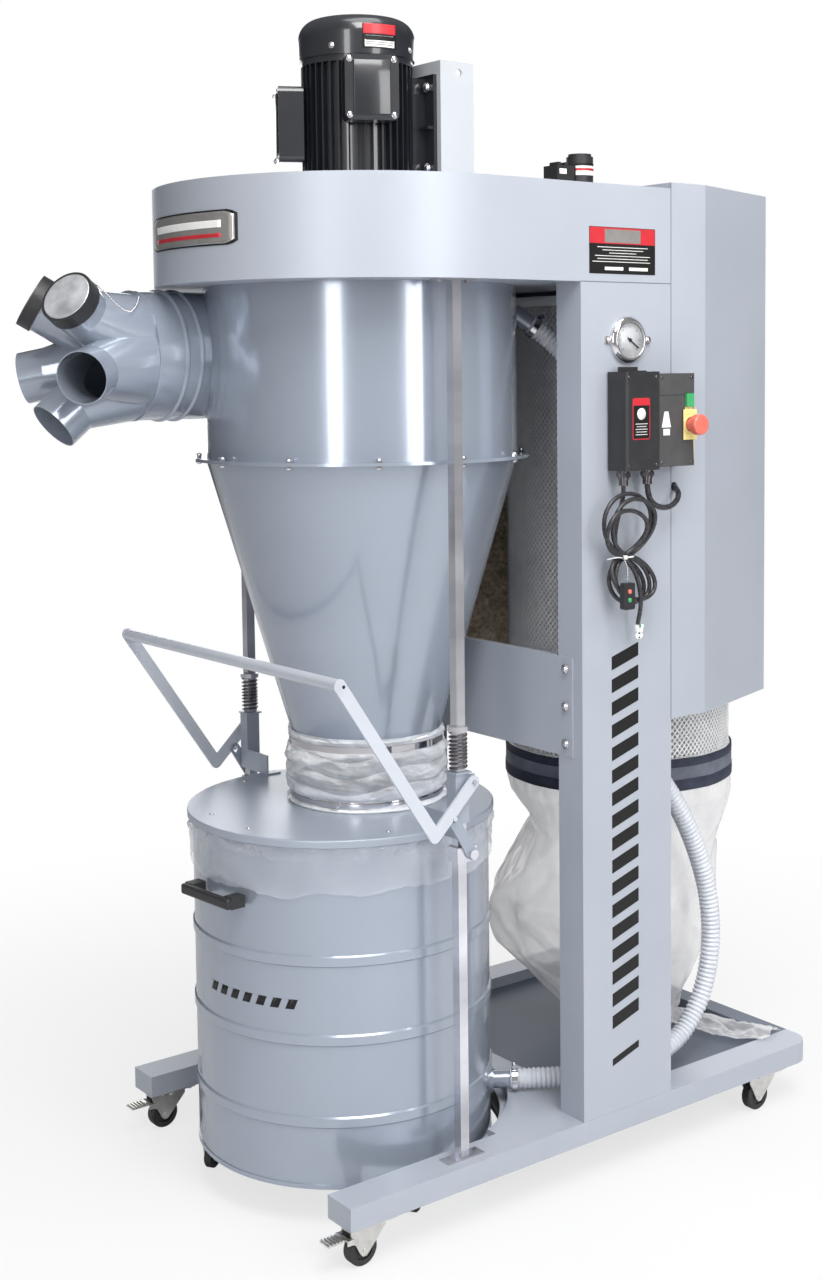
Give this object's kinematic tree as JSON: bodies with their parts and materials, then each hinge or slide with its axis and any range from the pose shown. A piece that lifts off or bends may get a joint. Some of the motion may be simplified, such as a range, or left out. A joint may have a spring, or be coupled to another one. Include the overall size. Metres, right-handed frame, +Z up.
{
  "type": "cyclone dust collector",
  "caption": "Cyclone dust collector on casters: motor-driven fan, cone, multi-port inlet, cartridge filter with bag, and a roll-out drum under a lever-lifted lid.",
  "frame": {"origin": "middle of the footprint, on the floor, with the cords left out", "axes": "+Z up, -X towards the drum end, -Y towards the control panel"},
  "size_m": [1.5584, 0.8784, 2.239],
  "materials": {
    "grey_paint": "silver-grey baked enamel on sheet steel, soft gloss",
    "zinc": "bright zinc plate, slightly dull",
    "galvanised": "galvanised expanded mesh and rings",
    "bare_steel": "oiled spring and fan steel",
    "chrome": "polished chrome plate",
    "black_enamel": "gloss black enamel",
    "black_plastic": "moulded black plastic, fine grain",
    "red_plastic": "signal red moulded plastic",
    "green_plastic": "green moulded plastic",
    "tyre": "hard black rubber tread",
    "foam": "brown open-cell acoustic foam",
    "filter_paper": "white spun-bond pleated filter medium",
    "clear_film": "clear polythene film, creased",
    "cord_rubber": "black rubber cord jacket",
    "white_hose": "white ribbed vinyl hose"
  },
  "bodies": {
    "frame": {"near_rail": "grey_paint", "far_rail": "grey_paint", "platform": "grey_paint", "near_post": "grey_paint", "far_post": "grey_paint", "brace_panel": "grey_paint", "frame_bolts": "zinc", "caster_plates": "zinc", "blower_housing": "grey_paint", "cyclone_barrel": "grey_paint", "cyclone_cone": "grey_paint", "port_manifold": "grey_paint", "motor_body": "black_enamel", "motor_covers": "black_enamel", "motor_bracket": "grey_paint", "filter_enclosure": "grey_paint", "acoustic_foam": "foam", "filter_pleats": "filter_paper", "filter_cage": "galvanised", "dust_bag": "clear_film", "agitator_drive": "black_plastic", "lift_rods": "chrome", "lift_springs": "bare_steel", "flexible_sleeve": "clear_film", "band_clamps": "zinc", "vacuum_gauge": "chrome", "switch_box": "black_plastic", "power_cord": "cord_rubber", "cord_ends": "zinc", "motor_lead": "cord_rubber", "vacuum_hose": "white_hose"},
    "drum": {"drum_shell": "grey_paint", "drum_liner": "clear_film", "drum_handles": "black_plastic"},
    "lid": {"lid": "grey_paint"},
    "lift_handle": {"lift_handle": "grey_paint"},
    "lift_links": {"lift_links": "grey_paint"},
    "impeller": {"impeller": "bare_steel"},
    "agitator": {"filter_agitator": "bare_steel"},
    "cap_near": {"port_cap_near": "black_plastic"},
    "cap_far": {"port_cap_far": "black_plastic"},
    "needle": {"gauge_needle": "black_enamel"},
    "estop": {"estop_button": "red_plastic"},
    "start_key": {"start_button": "green_plastic"},
    "drum_fork_1": {"drum_fork_1": "zinc"},
    "drum_wheel_1": {"drum_wheel_1": "tyre"},
    "drum_fork_2": {"drum_fork_2": "zinc"},
    "drum_wheel_2": {"drum_wheel_2": "tyre"},
    "drum_fork_3": {"drum_fork_3": "zinc"},
    "drum_wheel_3": {"drum_wheel_3": "tyre"},
    "fork_front_near": {"fork_front_near": "zinc"},
    "wheel_front_near": {"wheel_front_near": "tyre"},
    "pedal_front_near": {"pedal_front_near": "zinc"},
    "fork_front_far": {"fork_front_far": "zinc"},
    "wheel_front_far": {"wheel_front_far": "tyre"},
    "pedal_front_far": {"pedal_front_far": "zinc"},
    "fork_rear_near": {"fork_rear_near": "zinc"},
    "wheel_rear_near": {"wheel_rear_near": "tyre"},
    "fork_rear_far": {"fork_rear_far": "zinc"},
    "wheel_rear_far": {"wheel_rear_far": "tyre"}
  },
  "joints": [
    {"name": "drum_roll_out", "type": "slide", "parent": "frame", "child": "drum", "axis": [-1, 0, 0], "range_m": [0, 0.7]},
    {"name": "drum_swivel_1", "type": "hinge", "parent": "drum", "child": "drum_fork_1", "pos_m": [-0.45519, 0.18327, 0.062], "axis": [0, 0, 1], "continuous": true},
    {"name": "drum_axle_1", "type": "hinge", "parent": "drum_fork_1", "child": "drum_wheel_1", "pos_m": [-0.47045, 0.17373, 0.022], "axis": [0.5299, -0.848, 0], "continuous": true},
    {"name": "drum_swivel_2", "type": "hinge", "parent": "drum", "child": "drum_fork_2", "pos_m": [-0.00893, 0.15988, 0.062], "axis": [0, 0, 1], "continuous": true},
    {"name": "drum_axle_2", "type": "hinge", "parent": "drum_fork_2", "child": "drum_wheel_2", "pos_m": [-0.02419, 0.15034, 0.022], "axis": [0.5299, -0.848, 0], "continuous": true},
    {"name": "drum_swivel_3", "type": "hinge", "parent": "drum", "child": "drum_fork_3", "pos_m": [-0.25231, -0.2149, 0.062], "axis": [0, 0, 1], "continuous": true},
    {"name": "drum_axle_3", "type": "hinge", "parent": "drum_fork_3", "child": "drum_wheel_3", "pos_m": [-0.26758, -0.22443, 0.022], "axis": [0.5299, -0.848, 0], "continuous": true},
    {"name": "swivel_front_near", "type": "hinge", "parent": "frame", "child": "fork_front_near", "pos_m": [-0.43681, -0.31825, 0.067], "axis": [0, 0, 1], "continuous": true},
    {"name": "axle_front_near", "type": "hinge", "parent": "fork_front_near", "child": "wheel_front_near", "pos_m": [-0.45681, -0.31825, 0.03], "axis": [0, 1, 0], "continuous": true},
    {"name": "brake_front_near", "type": "hinge", "parent": "fork_front_near", "child": "pedal_front_near", "pos_m": [-0.48681, -0.31825, 0.056], "axis": [0, -1, 0], "range_deg": [0, 12]},
    {"name": "swivel_front_far", "type": "hinge", "parent": "frame", "child": "fork_front_far", "pos_m": [-0.43681, 0.40375, 0.067], "axis": [0, 0, 1], "continuous": true},
    {"name": "axle_front_far", "type": "hinge", "parent": "fork_front_far", "child": "wheel_front_far", "pos_m": [-0.45681, 0.40375, 0.03], "axis": [0, 1, 0], "continuous": true},
    {"name": "brake_front_far", "type": "hinge", "parent": "fork_front_far", "child": "pedal_front_far", "pos_m": [-0.48681, 0.40375, 0.056], "axis": [0, -1, 0], "range_deg": [0, 12]},
    {"name": "swivel_rear_near", "type": "hinge", "parent": "frame", "child": "fork_rear_near", "pos_m": [0.58319, -0.31825, 0.067], "axis": [0, 0, 1], "continuous": true},
    {"name": "axle_rear_near", "type": "hinge", "parent": "fork_rear_near", "child": "wheel_rear_near", "pos_m": [0.56319, -0.31825, 0.03], "axis": [0, 1, 0], "continuous": true},
    {"name": "swivel_rear_far", "type": "hinge", "parent": "frame", "child": "fork_rear_far", "pos_m": [0.58319, 0.40375, 0.067], "axis": [0, 0, 1], "continuous": true},
    {"name": "axle_rear_far", "type": "hinge", "parent": "fork_rear_far", "child": "wheel_rear_far", "pos_m": [0.56319, 0.40375, 0.03], "axis": [0, 1, 0], "continuous": true},
    {"name": "handle_pull", "type": "hinge", "parent": "lid", "child": "lift_handle", "pos_m": [-0.20941, 0.04275, 0.8295], "axis": [0, -1, 0], "range_deg": [0, 25]},
    {"name": "lid_lift", "type": "slide", "parent": "frame", "child": "lid", "axis": [0, 0, 1], "range_m": [0, 0.0249], "stiffness_N_per_m": 1500, "springref_m": -0.01, "deforming": ["lift_springs", "flexible_sleeve"]},
    {"name": "link_swing", "type": "hinge", "parent": "frame", "child": "lift_links", "pos_m": [-0.20981, 0.04275, 0.696], "axis": [0, 1, 0], "range_deg": [0, 21.2]},
    {"name": "impeller_spin", "type": "hinge", "parent": "frame", "child": "impeller", "pos_m": [-0.17581, 0.04275, 1.792], "axis": [0, 0, 1], "continuous": true},
    {"name": "agitator_turn", "type": "hinge", "parent": "frame", "child": "agitator", "pos_m": [0.50919, 0.04275, 1.392], "axis": [0, 0, 1], "continuous": true},
    {"name": "cap_near_pull", "type": "slide", "parent": "frame", "child": "cap_near", "axis": [-0.766, -0.3778, 0.52], "range_m": [0, 0.06]},
    {"name": "cap_far_pull", "type": "slide", "parent": "frame", "child": "cap_far", "axis": [-0.766, 0.3778, 0.52], "range_m": [0, 0.06]},
    {"name": "needle_turn", "type": "hinge", "parent": "frame", "child": "needle", "pos_m": [0.16219, -0.36215, 1.6236], "axis": [0, -1, 0], "range_deg": [-10, 250]},
    {"name": "estop_press", "type": "slide", "parent": "frame", "child": "estop", "axis": [0, 1, 0], "range_m": [0, 0.006], "stiffness_N_per_m": 900},
    {"name": "start_press", "type": "slide", "parent": "frame", "child": "start_key", "axis": [0, 1, 0], "range_m": [0, 0.003], "stiffness_N_per_m": 700}
  ],
  "couplings": [
    {"joint": "lid_lift", "follows": "handle_pull", "m_per_rad": 0.056952},
    {"joint": "link_swing", "follows": "handle_pull", "ratio": 0.8456}
  ]
}
